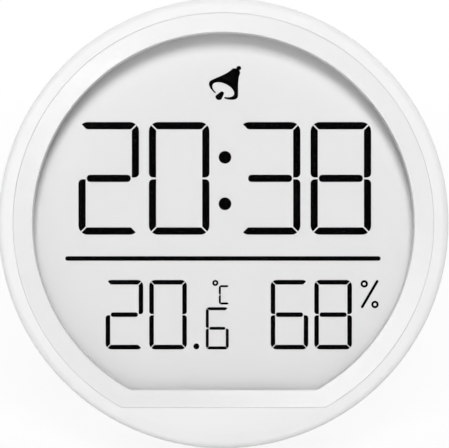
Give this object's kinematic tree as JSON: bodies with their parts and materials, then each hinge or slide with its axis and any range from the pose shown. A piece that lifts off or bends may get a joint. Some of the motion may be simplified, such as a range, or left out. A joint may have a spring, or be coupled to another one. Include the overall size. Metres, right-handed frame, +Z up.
{
  "type": "thermometer hygrometer clock",
  "caption": "Round white desk clock with a D-shaped display of time, temperature and humidity, push buttons, a battery bay and a fold-out stand at its back.",
  "frame": {"origin": "on the table, under the middle of the overall box, with the stand open", "axes": "+X to the viewer's right, the display faces -Y and leans back 14 degrees, +Z up"},
  "size_m": [0.09, 0.053, 0.0918],
  "materials": {
    "case_white": "moulded satin white",
    "bezel_white": "turned satin white",
    "lens_clear": "clear gloss",
    "gasket_black": "matt",
    "display_grey": "satin film",
    "display_glass": "polished",
    "reflector_film": "satin film",
    "frame_white": "matt",
    "strip_grey": "matt",
    "board_green": "solder mask",
    "screw_steel": "zinc plated",
    "resin_black": "gloss resin",
    "can_metal": "plated",
    "passive_brown": "matt",
    "buzzer_black": "matt",
    "sensor_black": "matt",
    "switch_black": "matt",
    "cell_wrap": "printed sleeve",
    "contact_nickel": "nickel plated",
    "pad_grey": "matt",
    "pin_steel": "ground",
    "button_grey": "satin",
    "plunger_black": "matt"
  },
  "bodies": {
    "case": {"front_housing": "case_white", "bezel_ring": "bezel_white", "lens": "lens_clear", "lens_gasket": "gasket_black", "front_polarizer": "display_grey", "display_front_glass": "display_glass", "display_rear_glass": "display_glass", "rear_reflector": "reflector_film", "display_frame": "frame_white", "contact_strip": "strip_grey", "main_board": "board_green", "board_screws": "screw_steel", "chip_blob": "resin_black", "quartz_crystal": "can_metal", "board_passives": "passive_brown", "buzzer": "buzzer_black", "climate_sensor": "sensor_black", "switch_bodies": "switch_black", "back_cover": "case_white", "contact_positive": "contact_nickel", "contact_negative": "contact_nickel", "contact_bridge": "contact_nickel", "stand_pin": "pin_steel"},
    "stand": {"stand_leg": "case_white", "stand_pad": "pad_grey"},
    "door": {"battery_door": "case_white"},
    "upper_cell": {"cell_upper": "cell_wrap"},
    "lower_cell": {"cell_lower": "cell_wrap"},
    "button_1": {"button_cap_1": "button_grey", "switch_plunger_1": "plunger_black"},
    "button_2": {"button_cap_2": "button_grey", "switch_plunger_2": "plunger_black"},
    "button_3": {"button_cap_3": "button_grey", "switch_plunger_3": "plunger_black"},
    "button_4": {"button_cap_4": "button_grey", "switch_plunger_4": "plunger_black"}
  },
  "joints": [
    {"name": "stand_hinge", "type": "hinge", "parent": "case", "child": "stand", "pos_m": [0, -0.00218, 0.00994], "axis": [-1, 0, 0], "range_deg": [-92.28, 0]},
    {"name": "door_lift", "type": "slide", "parent": "case", "child": "door", "axis": [0, 0.9703, -0.2419], "range_m": [0, 0.03]},
    {"name": "button_1_press", "type": "slide", "parent": "case", "child": "button_1", "axis": [0, -0.9703, 0.2419], "range_m": [0, 0.0003], "stiffness_N_per_m": 2000},
    {"name": "button_2_press", "type": "slide", "parent": "case", "child": "button_2", "axis": [0, -0.9703, 0.2419], "range_m": [0, 0.0003], "stiffness_N_per_m": 2000},
    {"name": "button_3_press", "type": "slide", "parent": "case", "child": "button_3", "axis": [0, -0.9703, 0.2419], "range_m": [0, 0.0003], "stiffness_N_per_m": 2000},
    {"name": "button_4_press", "type": "slide", "parent": "case", "child": "button_4", "axis": [0, -0.9703, 0.2419], "range_m": [0, 0.0003], "stiffness_N_per_m": 2000},
    {"name": "upper_cell_lift", "type": "slide", "parent": "case", "child": "upper_cell", "axis": [0, 0.9703, -0.2419], "range_m": [0, 0.015]},
    {"name": "lower_cell_lift", "type": "slide", "parent": "case", "child": "lower_cell", "axis": [0, 0.9703, -0.2419], "range_m": [0, 0.015]}
  ],
  "couplings": [
    {"joint": "upper_cell_lift", "follows": "door_lift", "ratio": 0.5},
    {"joint": "lower_cell_lift", "follows": "door_lift", "ratio": 0.5}
  ]
}
